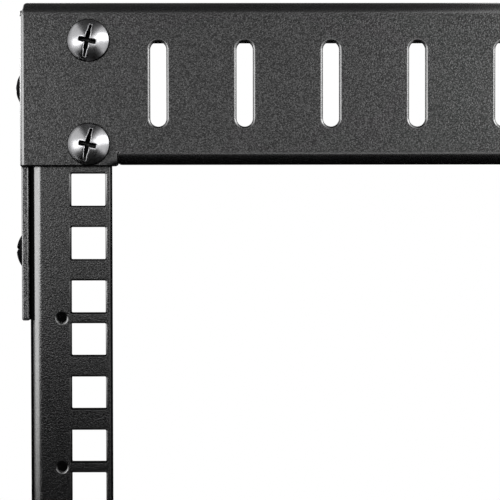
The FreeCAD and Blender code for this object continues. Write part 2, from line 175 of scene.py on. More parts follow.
def fold_lines(start, radius=FOLD_RADIUS):
    """Where the sheet is creased so that a fold comes out round."""
    return [start + radius * math.pi / 2 * step / FOLD_STEPS for step in range(FOLD_STEPS + 1)]


def loop_lines(first, count):
    """The lines that close a loop of points, numbered on from its first."""
    return [(first + index, first + (index + 1) % count) for index in range(count)]


def bands(rings):
    """The faces between rings of points, each ring above the one before."""
    faces = []
    for low, high in zip(rings, rings[1:]):
        faces += [[low[index - 1], low[index], high[index], high[index - 1]] for index in range(len(low))]
    return faces


def piece_of(name, mesh):
    """A piece with a finished mesh, shaded by the weight of its faces."""
    piece = bpy.data.objects.new(name, mesh)
    bpy.context.scene.collection.objects.link(piece)
    piece.modifiers.new("even_shading", "WEIGHTED_NORMAL").keep_sharp = True
    return piece


def new_piece(name, points, faces, *finishes):
    """A piece from points in millimetres, with its finishes."""
    mesh = bpy.data.meshes.new(name)
    mesh.from_pydata([Vector(point) * MM for point in points], [], faces)
    mesh.shade_smooth()
    for finish in finishes:
        mesh.materials.append(finish)
    return piece_of(name, mesh)


def sheet_piece(name, outline, holes, creases, fold, finishes,
                thickness=SHEET, edge=COAT_EDGE, bareness_and_painted_shade=None, dull=None):
    """A folded sheet with rounded edges.

    outline is anticlockwise and each hole a pair of a clockwise loop and its edge, all drawn on
    the flat sheet. An edge is how wide and how deep it is rounded. fold takes a flat place and a
    depth to a place on the rack. The function for cut edges takes a flat place to how bare its
    edge is, or below zero to painted shade on it, and the function for the coat to how much
    painted shade takes its gloss away there. Faces wholly in painted shade take the second finish.
    """
    flat, rims, lines, loops = [], [], [], []
    for loop, rim in [(outline, edge), *holes]:
        inset = [point - way * rim[0] for point, way in zip(loop, away_from_sheet(loop))]
        lines += loop_lines(len(flat), len(inset))
        flat += inset
        rims += [rim] * len(inset)
        xs, ys = zip(*inset)
        loops.append((inset, min(xs), max(xs), min(ys), max(ys)))
    for start, end in creases:
        lines.append((len(flat), len(flat) + 1))
        flat += [Vector(start), Vector(end)]
    tolerance = 1e-5
    spots, _, triangles, sources, _, _ = delaunay_2d_cdt(flat, lines, [], 0, tolerance)
    spots = [Vector(spot) for spot in spots]

    def on_sheet(triangle):
        middle = sum((spots[corner] for corner in triangle), Vector((0, 0))) / len(triangle)
        around = [is_inside(middle, loop) for loop, west, east, south, north in loops
                  if west < middle.x < east and south < middle.y < north]
        return sum(around) == 1 and is_inside(middle, loops[0][0])

    def area(triangle):
        first, second, third = (spots[corner] for corner in triangle)
        return (second - first).cross(third - first) / 2

    triangles = [triangle for triangle in triangles if abs(area(triangle)) > tolerance and on_sheet(triangle)]
    triangles = [triangle if area(triangle) > 0 else triangle[::-1] for triangle in triangles]
    used = sorted({corner for triangle in triangles for corner in triangle})
    number = {corner: index for index, corner in enumerate(used)}
    count = len(used)
    points = [fold(*spots[corner], depth) for depth in (0, thickness) for corner in used]
    faces = [[number[corner] for corner in triangle] for triangle in triangles]
    faces += [[count + number[corner] for corner in triangle[::-1]] for triangle in triangles]
    # The mark is below zero where painted shade takes the coat's gloss away, and above zero on worn, bare cut
    # edges
    wear_and_painted_shade = [-dull(*spots[corner]) if dull else 0.0 for corner in used] * 2

    # The rounded edge: from the outer face round to the cut, across it, and round to the inner face
    sides = {(a, b) for triangle in triangles for a, b in zip(triangle, triangle[1:] + triangle[:1])}
    following = {a: b for a, b in sides if (b, a) not in sides}
    angles = [math.pi / 2 * step / EDGE_STEPS for step in range(1, EDGE_STEPS + 1)]
    while following:
        loop = [next(iter(following))]
        while loop[-1] in following:
            loop.append(following.pop(loop[-1]))
        loop.pop()
        width, drop = max(rims[source] for corner in loop for source in sources[corner] if source < len(rims))
        ways = away_from_sheet([spots[corner] for corner in loop])
        levels = [(width * math.sin(angle), drop * (1 - math.cos(angle))) for angle in angles]
        levels += [(out, thickness - depth) for out, depth in reversed(levels)]
        rings = [[number[corner] for corner in loop]]
        for out, depth in levels:
            rings.append(list(range(len(points), len(points) + len(loop))))
            points += [fold(*(spots[corner] + way * out), depth) for corner, way in zip(loop, ways)]
            wear_and_painted_shade += [bareness_and_painted_shade(*spots[corner]) if bareness_and_painted_shade else EDGE_WEAR for corner in loop]
        rings.append([count + number[corner] for corner in loop])
        faces += bands(rings[::-1])
    piece = new_piece(name, points, faces, *finishes)
    piece.data.attributes.new("wear_and_painted_shade_mark", "FLOAT", "POINT").data.foreach_set("value", wear_and_painted_shade)
    # Faces wholly in painted shade take the second, glossless finish
    painted_shade_limit = -0.5
    finish_of_face = [int(all(wear_and_painted_shade[corner] < painted_shade_limit for corner in face)) for face in faces]
    piece.data.polygons.foreach_set("material_index", finish_of_face)
    return piece


def other_side(piece, name):
    """The same piece for the right side of the rack."""
    mesh = piece.data.copy()
    mesh.transform(Matrix.Scale(-1, 4, (1, 0, 0)))
    mesh.flip_normals()
    return piece_of(name, mesh)


def replace_sheet(piece, node):
    """Puts a coated sheet on the rack in place of a node of the frame."""
    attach(piece, "root")
    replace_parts(piece, node)


def link_or_set(tree, node, inputs):
    """Links inputs of a node, by name or number, to other nodes, or sets them to plain values."""
    for name, value in inputs.items():
        if isinstance(value, bpy.types.NodeSocket):
            tree.links.new(value, node.inputs[name])
        else:
            node.inputs[name].default_value = value


def add_node(tree, kind, inputs, **settings):
    """A shader node with its settings and inputs."""
    node = tree.nodes.new(kind)
    for name, value in settings.items():
        setattr(node, name, value)
    link_or_set(tree, node, inputs)
    return node


def spread(tree, value, low, high, to_low=0.0, to_high=1.0):
    """A value spread from one range to another."""
    ends = {"Value": value, "From Min": low, "From Max": high, "To Min": to_low, "To Max": to_high}
    return add_node(tree, "ShaderNodeMapRange", ends).outputs["Result"]


def between(tree, share, low, high):
    """A value between two, by a share from 0 to 1."""
    return spread(tree, share, 0.0, 1.0, low, high)


def calculate(tree, operation, first, second):
    """One step of arithmetic on two values."""
    return add_node(tree, "ShaderNodeMath", {0: first, 1: second}, operation=operation).outputs[0]


def mixed_colour(tree, share, first, second):
    """A colour between two."""
    return add_node(tree, "ShaderNodeMix", {0: share, 6: first, 7: second}, data_type="RGBA").outputs[2]


def place_on_piece(tree):
    """The place on the piece itself, in metres."""
    return add_node(tree, "ShaderNodeTexCoord", {}).outputs["Object"]


def noise(tree, place, scale, detail=2.0, roughness=0.5):
    """Soft noise over the surface."""
    inputs = {"Vector": place, "Scale": scale, "Detail": detail, "Roughness": roughness}
    return add_node(tree, "ShaderNodeTexNoise", inputs).outputs["Fac"]


def new_effect(name, inputs, outputs):
    """An effect that several finishes share, with its named inputs and outputs."""
    tree = bpy.data.node_groups.new(name, "ShaderNodeTree")
    for label, value in inputs.items():
        socket = tree.interface.new_socket(label, in_out="INPUT", socket_type="NodeSocketFloat")
        socket.default_value = value
    for label in outputs:
        tree.interface.new_socket(label, in_out="OUTPUT", socket_type="NodeSocketFloat")
    return tree, tree.nodes.new("NodeGroupInput").outputs, tree.nodes.new("NodeGroupOutput")


def effect(tree, group, **inputs):
    """Places a shared effect in a finish with its own values."""
    named = {label.capitalize(): value for label, value in inputs.items()}
    return add_node(tree, "ShaderNodeGroup", named, node_tree=group).outputs


def new_finish(name):
    """An empty finish, its tree and its shader."""
    material = bpy.data.materials.new(name)
    material.use_nodes = True
    return material, material.node_tree, material.node_tree.nodes["Principled BSDF"]


def shade(tree, shader, **sockets):
    """Links what changes over a surface to its shader, and sets what doesn't on the shader itself."""
    labels = [label.replace("_", " ").title().replace("Ior", "IOR") for label in sockets]
    link_or_set(tree, shader, dict(zip(labels, sockets.values())))


def raised(tree, height, strength, distance):
    """The normal of a surface with fine relief."""
    relief = {"Height": height, "Strength": strength, "Distance": distance}
    return add_node(tree, "ShaderNodeBump", relief).outputs["Normal"]


# Grain: the pebbled skin of sprayed and moulded surfaces, with its brightest peaks as specks
grain, given, result = new_effect("skin_grain", {"Scale": 1300.0}, ["Height", "Specks", "Blotches"])
place = place_on_piece(grain)
pebbles = noise(grain, place, given["Scale"], 1.5, 0.6)
cells = add_node(grain, "ShaderNodeTexVoronoi", {"Vector": place, "Scale": given["Scale"]})
height = calculate(grain, "SUBTRACT", pebbles, calculate(grain, "MULTIPLY", cells.outputs["Distance"], 0.35))
blotches = noise(grain, place, calculate(grain, "MULTIPLY", given["Scale"], 0.016), 3.0)
link_or_set(grain, result, {"Height": height,
                            "Specks": spread(grain, height, 0.22, 0.5),
                            "Blotches": spread(grain, blotches, 0.3, 0.7)})

# Dust: a thin film on whatever faces up
dust, given, result = new_effect("settled_dust", {"Amount": 0.3}, ["Mask"])
outward = add_node(dust, "ShaderNodeNewGeometry", {}).outputs["Normal"]
upward = add_node(dust, "ShaderNodeSeparateXYZ", {"Vector": outward}).outputs["Z"]
patches = spread(dust, noise(dust, place_on_piece(dust), 60.0, 5.0, 0.65), 0.35, 0.75)
film = calculate(dust, "MULTIPLY", spread(dust, upward, 0.6, 1.0), patches)
link_or_set(dust, result, {"Mask": calculate(dust, "MULTIPLY", film, given["Amount"])})

# Shine: where a sheet turns at a fold or an edge, and its coat is thinner and glossier
shine, given, result = new_effect("fold_shine", {"Start": 0.9999, "End": 0.985}, ["Mask"])
outward = add_node(shine, "ShaderNodeNewGeometry", {}).outputs["Normal"]
leaning = add_node(shine, "ShaderNodeVectorMath", {0: outward}, operation="ABSOLUTE").outputs[0]
parts = add_node(shine, "ShaderNodeSeparateXYZ", {"Vector": leaning}).outputs
largest = calculate(shine, "MAXIMUM", calculate(shine, "MAXIMUM", parts["X"], parts["Y"]), parts["Z"])
link_or_set(shine, result, {"Mask": spread(shine, largest, given["Start"], given["End"])})

# Powder coat: black and finely pebbled, with glossy peaks, and glossy all over where the sheet turns.
# The mark on the sheet is above zero on cut edges, which show pale specks, and below zero where it is
# painted shade: there the coat loses its gloss and stays black.
COAT_DARK = (0.003, 0.003, 0.0032, 1)
COAT_LIGHT = (0.010, 0.010, 0.0104, 1)
COAT_CUT = (0.16, 0.16, 0.163, 1)
DUST_GREY = (0.20, 0.195, 0.185, 1)
PIT_GLOSS, PIT_GLOSS_AT_FOLD = 0.0, 0.83
PEAK_GLOSS, PEAK_GLOSS_AT_FOLD = 0.39, 1.0
RELIEF, RELIEF_AT_FOLD = 0.6, 0.15
powder_coat, tree, shader = new_finish("powder_coat")
skin = effect(tree, grain, scale=2400.0)
film = effect(tree, dust, amount=0.25)
turning = effect(tree, shine)["Mask"]
mark = add_node(tree, "ShaderNodeAttribute", {}, attribute_name="wear_and_painted_shade_mark").outputs["Fac"]
colour = mixed_colour(tree, skin["Specks"], COAT_DARK, COAT_LIGHT)
colour = mixed_colour(tree, calculate(tree, "MULTIPLY", mark, skin["Specks"]), colour, COAT_CUT)
# The grain's pits have less gloss than its peaks, partly as painted shade in those hollows
pit_gloss = between(tree, turning, PIT_GLOSS, PIT_GLOSS_AT_FOLD)
peak_gloss = between(tree, turning, PEAK_GLOSS, PEAK_GLOSS_AT_FOLD)
gloss = between(tree, skin["Specks"], pit_gloss, peak_gloss)
pebbled = raised(tree, skin["Height"], between(tree, turning, RELIEF, RELIEF_AT_FOLD), 0.00015)
shade(tree, shader, base_color=mixed_colour(tree, film["Mask"], colour, DUST_GREY),
      roughness=between(tree, skin["Blotches"], 0.23, 0.28), ior=1.66, specular_ior_level=0.25,
      coat_weight=calculate(tree, "MULTIPLY", gloss, spread(tree, mark, -1.0, 0.0)),
      coat_roughness=0.255, coat_ior=2.35, normal=pebbled, coat_normal=pebbled)
# The coat with no gloss at all, as painted shade on faces wholly in shade
painted_shade_coat = powder_coat.copy()
painted_shade_coat.name = "painted_shade_coat"
shade(painted_shade_coat.node_tree, painted_shade_coat.node_tree.nodes["Principled BSDF"], specular_ior_level=0.0)

post_low, post_high = millimetres("left_post")
bay_bottom = (post_low.z + post_high.z - RACK_UNITS * RACK_UNIT) / 2
bay_top = bay_bottom + RACK_UNITS * RACK_UNIT
post_front, post_back = post_low.y, post_high.y
# The web lies snug against the ears, a little further out than the solid's
post_fold = post_low.x - SNUG + FOLD_RADIUS
web_start = post_fold - FOLD_ARC
top_ear = millimetres("top_rail")[0].z
bottom_ear = millimetres("bottom_rail")[1].z


def fold_post(across, up, depth):
    """From the flat sheet to the left post: the front stays, the web is folded back."""
    on, back = folded(post_fold - across, depth)
    return post_fold - on, post_front + back, up


def on_web(back):
    """Where a place on the web, so far behind the front, lies on the flat sheet."""
    return web_start - (back - FOLD_RADIUS)


post_holes, hole_sills = [], []
for unit in range(-1, RACK_UNITS + 1):
    for step in (-1, 0, 1):
        hole_z = bay_bottom + (unit + 0.5) * RACK_UNIT + step * HOLE_STEP
        post_holes.append(square_hole(-HOLE_COLUMN, hole_z))
        hole_sills.append(hole_z - SQUARE_HOLE_HEIGHT / 2)
for line in range(1, RACK_UNITS):
    pilot_z = bay_bottom + line * RACK_UNIT
    post_holes.append(round_hole(-HOLE_COLUMN - PILOT_OFFSET, pilot_z, PILOT_HOLE, PILOT_EDGE))
for edge_z in (bay_top, bay_bottom):
    for rise in (EAR_SCREW_RISE, -EAR_SCREW_RISE):
        post_holes.append(round_hole(on_web(EAR_SCREW_BACK), edge_z + rise))
for height in GUSSET_SCREWS:
    post_holes.append(round_hole(on_web(GUSSET_SCREW_BACK), height))
post_outline = rectangle(on_web(post_back - post_front), post_high.x, post_low.z, post_high.z)

# Along the fold painted shade takes the coat's gloss, from a line to nearly its end.
# Beside the ears the line comes sooner
beyond = 5
ear_shade = post_fold - 0.39 * FOLD_ARC
post_shade = post_fold - 0.48 * FOLD_ARC
shade_end = post_fold - 0.97 * FOLD_ARC
step_width = 0.1
post_lines = [2 * post_fold - line for line in fold_lines(post_fold)]
post_lines += [line + step for line in (ear_shade, post_shade) for step in (-step_width, step_width)]
post_creases = [((line, post_low.z - beyond), (line, post_high.z + beyond)) for line in post_lines]
post_creases += [((post_fold, level + step), (shade_end, level + step))
                 for level in (top_ear, bottom_ear) for step in (-step_width, step_width)]


def post_wear_and_painted_shade(across, up):
    """How bare the post's cut edges are. Its inner edge and the holes' sills are in painted shade,
    and the holes' outer sides partly so.
    """
    if across > post_high.x - 1 or any(abs(up - sill) < 1 for sill in hole_sills):
        return -1.0
    return -0.25 if abs(across + HOLE_COLUMN + SQUARE_HOLE_WIDTH / 2) < 1 else EDGE_WEAR


def post_painted_shade(across, up):
    """How much painted shade takes the gloss off the post's coat."""
    start = post_shade if bottom_ear < up < top_ear else ear_shade
    return 1.0 if shade_end < across < start else 0.0


left_post = sheet_piece("left_post_folded", post_outline, post_holes, post_creases, fold_post,
                        (powder_coat, painted_shade_coat), edge=POST_EDGE, bareness_and_painted_shade=post_wear_and_painted_shade, dull=post_painted_shade)
replace_sheet(left_post, "left_post")
replace_sheet(other_side(left_post, "right_post_folded"), "right_post")

# Rails
# Each rail is one folded sheet: a slotted face, a cap over the posts' ends, a short flange
# between the posts, and two ears folded back along the posts and running on past the face.
CAP_FACE = 49.0
CAP_GAP = 0.1
CAP_CORNER = 2.0
TAB_EDGE = 0.4
TAB_CORNER = 0.3
# Painted shade on the tabs beside the flange's ends: its strength, how far along it fades, and where below
# the flange it fades in
TAB_PAINTED_SHADE, TAB_FADE = 1.3, 5.0
TAB_DROP, TAB_RISE = 0.8, 2.6
FLANGE_FACE = 1.4
FLANGE_FOLD = 3.4
FLANGE_DEPTH = 15.0
FLANGE_END = 223.35
FLANGE_CORNER = 0.8
FLANGE_SLIT = 0.02
TEAR_REACH = 3.2
TEAR_LAP = 0.9
TEAR_ANGLE = math.radians(8)
TEAR_STEPS = 4
TAB_STEPS = 6
SIDE_FOLD = 1.5
SIDE_SLIT = 0.58
CORNER_CURVE = ((0.5, 1.5), (0.75, 2.2), (0.85, 4.0), (1.2, 5.3), (2.0, 6.6))
EAR_TOP = 46.4
EAR_FRONT = 3.1
EAR_DEPTH = 36.0
EAR_CORNER = 5.0
RAIL_EDGE = (0.6, 0.5)
SLOT_WIDTH = 4.8
SLOT_LENGTH = 25.1
SLOT_PITCH = 25.5
SLOT_START = 21.0
SLOT_COUNT = 8
SLOT_EDGE = (0.8, 0.7)
FACE_SCREW_COLUMN = HOLE_COLUMN - 0.5
FACE_SCREWS = (7.0, 37.45)
FOOT_BOLT_BACK = 18.0
LEFT_AND_RIGHT = (-1, 1)

rail_low, rail_high = millimetres("top_rail")
tube_low, tube_high = millimetres("right_foot_tube")
tube_line = (tube_low.x + tube_high.x) / 2
rail_front = rail_low.y
side_line = rail_high.x - SIDE_FOLD
side_end = side_line + SIDE_FOLD * math.pi / 2
corner_slit = side_line + SIDE_SLIT * (side_end - side_line)
cap_line = CAP_FACE - FOLD_RADIUS
flange_line = FLANGE_FACE + FLANGE_FOLD
tear_top = flange_line - FLANGE_FOLD * TEAR_ANGLE
ear_end = rail_low.z - bay_top
slot_middle = (TAB_EDGE + CAP_FACE) / 2


def share_of(value):
    """A value kept between 0 and 1."""
    return min(1, max(0, value))


def fold_rail(across, up, depth):
    """From the flat sheet to a rail in its own frame: its front at zero, and the edge of the rack units."""
    side = math.copysign(1, across)
    past_side, past_cap = abs(across) - side_line, up - cap_line
    if past_cap > 0 and abs(across) < corner_slit - FLANGE_SLIT / 2:
        on, back = folded(past_cap, depth)
        if past_side > 0:
            share = math.cos(min(past_cap / FOLD_RADIUS, math.pi / 2))
            turned, set_back = folded(past_side, depth, SIDE_FOLD)
            across += side * (turned - past_side) * share
            back += (set_back - depth) * share
        return across, back, cap_line + on
    if past_side > 0:
        on, back = folded(past_side, depth, SIDE_FOLD)
        return side * (side_line + on), back, up
    past_flange = abs(across) - FLANGE_END
    share = share_of(1 - abs(past_flange) / TEAR_REACH)
    limit = math.pi / 2
    if past_flange > -FLANGE_SLIT / 2:
        limit = TEAR_ANGLE * share * share * (3 - 2 * share)
    else:
        across += side * TEAR_LAP * share * share_of(tear_top - up)
    on, back = folded(flange_line - up, depth, FLANGE_FOLD, limit)
    return across, back, flange_line - on


def past_fold(start, back, radius=FOLD_RADIUS):
    """Where a place so far behind the front of the rail lies on the flat sheet, beyond a fold."""
    return start + radius * math.pi / 2 + back - radius


def rail_wear_and_painted_shade(across, up):
    """How bare a rail's cut edges are. They are pale on the ears and in painted shade beside the flange's
    ends.
    """
    if abs(across) > side_end:
        return 1.0
    return -1.0 if up < flange_line and abs(across) > FLANGE_END - TEAR_REACH else EDGE_WEAR


def rail_painted_shade(across, up):
    """How much painted shade takes the gloss off a rail's coat: on the tabs, less and less away
    from the flange's ends.
    """
    past_end = abs(across) - FLANGE_END
    if past_end < -FLANGE_SLIT / 2:
        return 0.0
    return share_of(TAB_PAINTED_SHADE - past_end / TAB_FADE) * share_of((flange_line - TAB_DROP - up) / TAB_RISE)


def rail_piece(name, to_rack, cap_holes):
    """A rail, set on the rack by a function of its own."""
    ear_front = past_fold(side_line, EAR_FRONT, SIDE_FOLD)
    ear_back = past_fold(side_line, EAR_DEPTH, SIDE_FOLD)
    cap_end = corner_slit - CORNER_CURVE[-1][0] - CAP_GAP
    cap_back = past_fold(cap_line, rail_high.y - rail_front)
    flange_back = 2 * flange_line - past_fold(flange_line, FLANGE_DEPTH, FLANGE_FOLD)
    right = [
        (FLANGE_END - FLANGE_SLIT, flange_back, FLANGE_CORNER),
        (FLANGE_END - FLANGE_SLIT, tear_top, 0),
        (FLANGE_END, tear_top, 0),
        (FLANGE_END, TAB_EDGE, FLANGE_CORNER),
        (ear_front, TAB_EDGE, TAB_CORNER),
        (ear_front, ear_end, FLANGE_CORNER),
        (ear_back, ear_end, EAR_CORNER),
        (ear_back, EAR_TOP, EAR_CORNER),
        (corner_slit, EAR_TOP, 0),
        (corner_slit, cap_line, 0),
        (corner_slit - FLANGE_SLIT, cap_line, 0),
        *((corner_slit - inset, cap_line + rise, 0) for inset, rise in CORNER_CURVE),
        (cap_end, cap_back, CAP_CORNER),
    ]
    left = [(-x, y, radius) for x, y, radius in reversed(right)]
    holes = []
    for index in range(SLOT_COUNT):
        for side in LEFT_AND_RIGHT:
            x = side * (HOLE_COLUMN - SLOT_START - index * SLOT_PITCH)
            holes.append(long_hole(x, slot_middle, SLOT_WIDTH, SLOT_LENGTH, SLOT_EDGE))
    ear_screws = past_fold(side_line, EAR_SCREW_BACK + SHEET, SIDE_FOLD)
    for side in LEFT_AND_RIGHT:
        holes += [round_hole(side * FACE_SCREW_COLUMN, height) for height in FACE_SCREWS]
        holes += [round_hole(side * ear_screws, height) for height in (EAR_SCREW_RISE, -EAR_SCREW_RISE)]
    holes += [round_hole(x, past_fold(cap_line, back)) for x, back in cap_holes]
    creases = []
    for line in fold_lines(side_line, SIDE_FOLD):
        for side in LEFT_AND_RIGHT:
            creases.append(((side * line, TAB_EDGE - beyond), (side * line, cap_back + beyond)))
    for line in fold_lines(cap_line):
        creases.append(((-cap_end - beyond, line), (cap_end + beyond, line)))
    for line in fold_lines(flange_line, FLANGE_FOLD):
        level = 2 * flange_line - line
        creases.append(((-FLANGE_END - TEAR_REACH, level), (FLANGE_END + TEAR_REACH, level)))
    for step in range(1, TAB_STEPS + 1):
        for side in LEFT_AND_RIGHT:
            x = side * (FLANGE_END + TEAR_REACH * step / TEAR_STEPS)
            creases.append(((x, TAB_EDGE - beyond), (x, flange_line)))
    return sheet_piece(name, rounded(right + left), holes, creases,
                       lambda across, up, depth: to_rack(*fold_rail(across, up, depth)),
                       (powder_coat, painted_shade_coat), edge=RAIL_EDGE, bareness_and_painted_shade=rail_wear_and_painted_shade, dull=rail_painted_shade)


def to_top(x, back, z):
    """A place on the top rail."""
    return x, rail_front + back, bay_top + z


def to_bottom(x, back, z):
    """A place on the bottom rail, which is the same rail turned upside down."""
    return -x, rail_front + back, bay_bottom - z


foot_bolt_holes = [(side * tube_line, offset - rail_front)
                   for side in LEFT_AND_RIGHT for offset in (-FOOT_BOLT_BACK, FOOT_BOLT_BACK)]
replace_sheet(rail_piece("top_rail_folded", to_top, []), "top_rail")
replace_sheet(rail_piece("bottom_rail_folded", to_bottom, foot_bolt_holes), "bottom_rail")

# Screws
# Each rail is held by two bright pan-head machine screws at each end of its face, and by two black
# ones through each ear. The heads have a driver slot and a cross recess pressed into them.
HEAD_RADIUS = 6.3
HEAD_RIM = 0.25
HEAD_SIDE = ((0.13, 2.86), (0.04, 3.02), (0.0, 3.2))
HEAD_FOOT = 0.2
HEAD_STEPS = 72
HEAD_RINGS = 12
HEAD_HEIGHT = 3.7
EAR_HEAD_HEIGHT = 3.45
HEAD_DOME = 8.1
SLOT_HALF, SLOT_REACH, SLOT_DEPTH = 0.42, 4.8, 1.85
CROSS_HALF, CROSS_ARM, CROSS_DEPTH, CROSS_CORNER = 0.6, 2.6, 2.6, 0.35
RECESS_FLOOR = 9.0
RECESS_EDGE = ((0.20, 0.0), (0.09, 0.04), (0.0, 0.18), (-0.08, RECESS_FLOOR))
RECESS_DROP = 0.25
SCREW_THREAD = (3.0, 1.0, 0.45)
FACE_SCREW_LENGTH = 14.0
EAR_SCREW_LENGTH = 8.6
FACE_SCREW_TURN = math.radians(-12.7)
EAR_SCREWS = (("inner", -EAR_SCREW_RISE, math.radians(105)), ("outer", EAR_SCREW_RISE, math.radians(139)))
TO_FRONT, TO_BACK, UPWARD = (0, -1, 0), (0, 1, 0), (0, 0, 1)


def turned_piece(name, profile, around, finish, shape=None):
    """A piece turned about its own Z axis from a profile of (radius, height), bottom to top.

    shape, if there is one, takes an angle and a place on the profile to the radius and height there.
    """
    points, rings = [], []
    for reach, height in profile:
        rings.append(list(range(len(points), len(points) + around)))
        for step in range(around):
            angle = 2 * math.pi * step / around
            radius, level = shape(angle, reach, height) if shape else (reach, height)
            points.append((radius * math.cos(angle), radius * math.sin(angle), level))
    return new_piece(name, points, [*bands(rings), rings[0][::-1], rings[-1]], finish)


def threaded(name, thread, low, high, finish, around=24, rows=5):
    """A rod from one height to another, with a thread (radius, pitch, depth) that winds up it."""
    radius, pitch, depth = thread
    steps = round((high - low) / pitch * rows)
    profile = [(radius, low + (high - low) * step / steps) for step in range(steps + 1)]

    def ridge(angle, reach, height):
        phase = (height / pitch - angle / (2 * math.pi)) % 1
        end = min(1, (height - low) / pitch, (high - height) / pitch)
        return reach - depth * (abs(2 * phase - 1) * end + (1 - end)), height

    return turned_piece(name, profile, around, finish, ridge)


def mesh_of(piece):
    """A piece's mesh by itself, to be used for several pieces."""
    mesh = piece.data
    bpy.data.objects.remove(piece)
    return mesh


def joined(name, *pieces):
    """The mesh of several pieces as one."""
    with bpy.context.temp_override(active_object=pieces[0], selected_editable_objects=pieces):
        bpy.ops.object.join()
    mesh = mesh_of(pieces[0])
    mesh.name = name
    return mesh


# Plating: faint smudges and hairlines in a bright metal skin
plating, given, result = new_effect("plate_smudges", {"Scale": 400.0}, ["Smudge", "Hairlines"])
place = place_on_piece(plating)
smudge = noise(plating, place, given["Scale"], 4.0, 0.6)
stretched = add_node(plating, "ShaderNodeMapping", {"Vector": place, "Scale": (1.0, 9.0, 1.0)})
hair_scale = calculate(plating, "MULTIPLY", given["Scale"], 4.0)
link_or_set(plating, result, {"Smudge": spread(plating, smudge, 0.35, 0.7),
                              "Hairlines": noise(plating, stretched.outputs["Vector"], hair_scale, 2.0, 0.7)})


def plated(name, bright, dull, smooth, metal=1.0, index=1.5):
    """A plated metal between a bright and a dull tone."""
    material, tree, shader = new_finish(name)
    skin = effect(tree, plating, scale=400.0)
    shade(tree, shader, base_color=mixed_colour(tree, skin["Smudge"], bright, dull),
          roughness=between(tree, skin["Smudge"], smooth, smooth + 0.1), metallic=metal, ior=index,
          normal=raised(tree, skin["Hairlines"], 0.05, 0.00002))
    return material


bright_plate = plated("bright_plate", (0.45, 0.45, 0.46, 1), (0.39, 0.39, 0.40, 1), 0.24)
black_plate = plated("black_plate", (0.008, 0.008, 0.009, 1), (0.004, 0.004, 0.0045, 1), 0.5, 0.0, 1.03)
# Dark metal as painted shade in the screws' recesses, round the heads' sides and in the nuts' bores
painted_shade_metal = plated("painted_shade_metal", (0.03, 0.03, 0.03, 1), (0.012, 0.012, 0.012, 1), 0.35)


def recess(grow):
    """The outline of the driver slot and the cross recess together, widened all round."""
    slot, reach, cross, arm = (half + grow for half in (SLOT_HALF, SLOT_REACH, CROSS_HALF, CROSS_ARM))
    soft = CROSS_CORNER + grow
    quarter = [(arm, cross, soft), (cross, cross, 0), (cross, arm, 0), (slot, arm, 0), (slot, reach, 0)]
    second = [(-x, y, radius) for x, y, radius in reversed(quarter)]
    whole = quarter + second + [(-x, -y, radius) for x, y, radius in quarter + second]
    return rounded([(x, y - RECESS_DROP, radius) for x, y, radius in whole])


def screw_head(height, plate):
    """A pan head of some height, its recess pressed into the dome with softened edges.

    The walls and floor of the recess and the side of the head are dark metal as painted shade.
    """
    rim = HEAD_RADIUS - HEAD_RIM
    border = recess(RECESS_EDGE[0][0])
    lines = loop_lines(0, HEAD_STEPS)
    flat = []
    for ring in range(HEAD_RINGS):
        circle = arc(0, 0, rim * (1 - ring / HEAD_RINGS), 0, 2 * math.pi, HEAD_STEPS)[:-1]
        flat += [place for place in circle if not is_inside(place, border)]
    drops = [0.0] * len(flat)
    first_wall = len(flat) + 2 * len(border)
    for grow, drop in RECESS_EDGE:
        loop = recess(grow)
        lines += loop_lines(len(flat), len(loop))
        flat += loop
        drops += [drop] * len(loop)
    spots, _, faces, sources, _, _ = delaunay_2d_cdt(flat, lines, [], 0, 1e-6)
    points, walls = [], []
    for spot, source in zip(spots, sources):
        place, number = Vector(spot), max(source)
        dome = height - HEAD_DOME + math.sqrt(HEAD_DOME ** 2 - place.length_squared)
        depth = SLOT_DEPTH if abs(place.y + RECESS_DROP) > CROSS_ARM else CROSS_DEPTH
        level = dome - drops[number] if drops[number] < RECESS_FLOOR else height - depth
        points.append((place.x, place.y, level))
        walls.append(number >= first_wall)
    # The recess's walls and floor take the dark metal of painted shade
    finish_of_face = [int(all(walls[corner] for corner in face)) for face in faces]
    edge = sorted((math.atan2(y, x) % (2 * math.pi), index) for index, (x, y, _) in enumerate(points)
                  if math.hypot(x, y) > rim - 0.001)
    ring = [index for _, index in edge]
    side = [(HEAD_RADIUS - inset, height - drop) for inset, drop in HEAD_SIDE]
    for radius, level in (*side, (HEAD_RADIUS, HEAD_FOOT), (rim, 0)):
        below = list(range(len(points), len(points) + len(ring)))
        for index in ring:
            way = Vector(points[index][:2]).normalized() * radius
            points.append((way.x, way.y, level))
        faces += bands([below, ring])
        ring = below
    faces.append(ring[::-1])
    head = new_piece("screw_head", points, faces, plate, painted_shade_metal)
    # The head's side below the dome takes it too, as a painted shadow round the head
    finish_of_face += [1] * (len(faces) - len(finish_of_face))
    head.data.polygons.foreach_set("material_index", finish_of_face)
    return head


def screw_mesh(name, height, length, plate):
    """A pan-head screw in one plating, as high and as long as it says."""
    return joined(name, screw_head(height, plate),
                  threaded("screw_shank", SCREW_THREAD, -length, 0.1, plate))


def facing(place, outward, up, turn=0.0):
    """The stand of a fastener: where it is, which way its head looks, and how far it is turned."""
    outward, up = Vector(outward), Vector(up)
    axes = Matrix((up.cross(outward), up, outward)).transposed().to_4x4()
    return Matrix.Translation(Vector(place) * MM) @ axes @ Matrix.Rotation(turn, 4, "Z")


def fastener(name, mesh, stand):
    """A fastener in its stand on the rack."""
    piece = piece_of(name, mesh)
    piece.matrix_world = stand
    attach(piece, "root")
    return piece


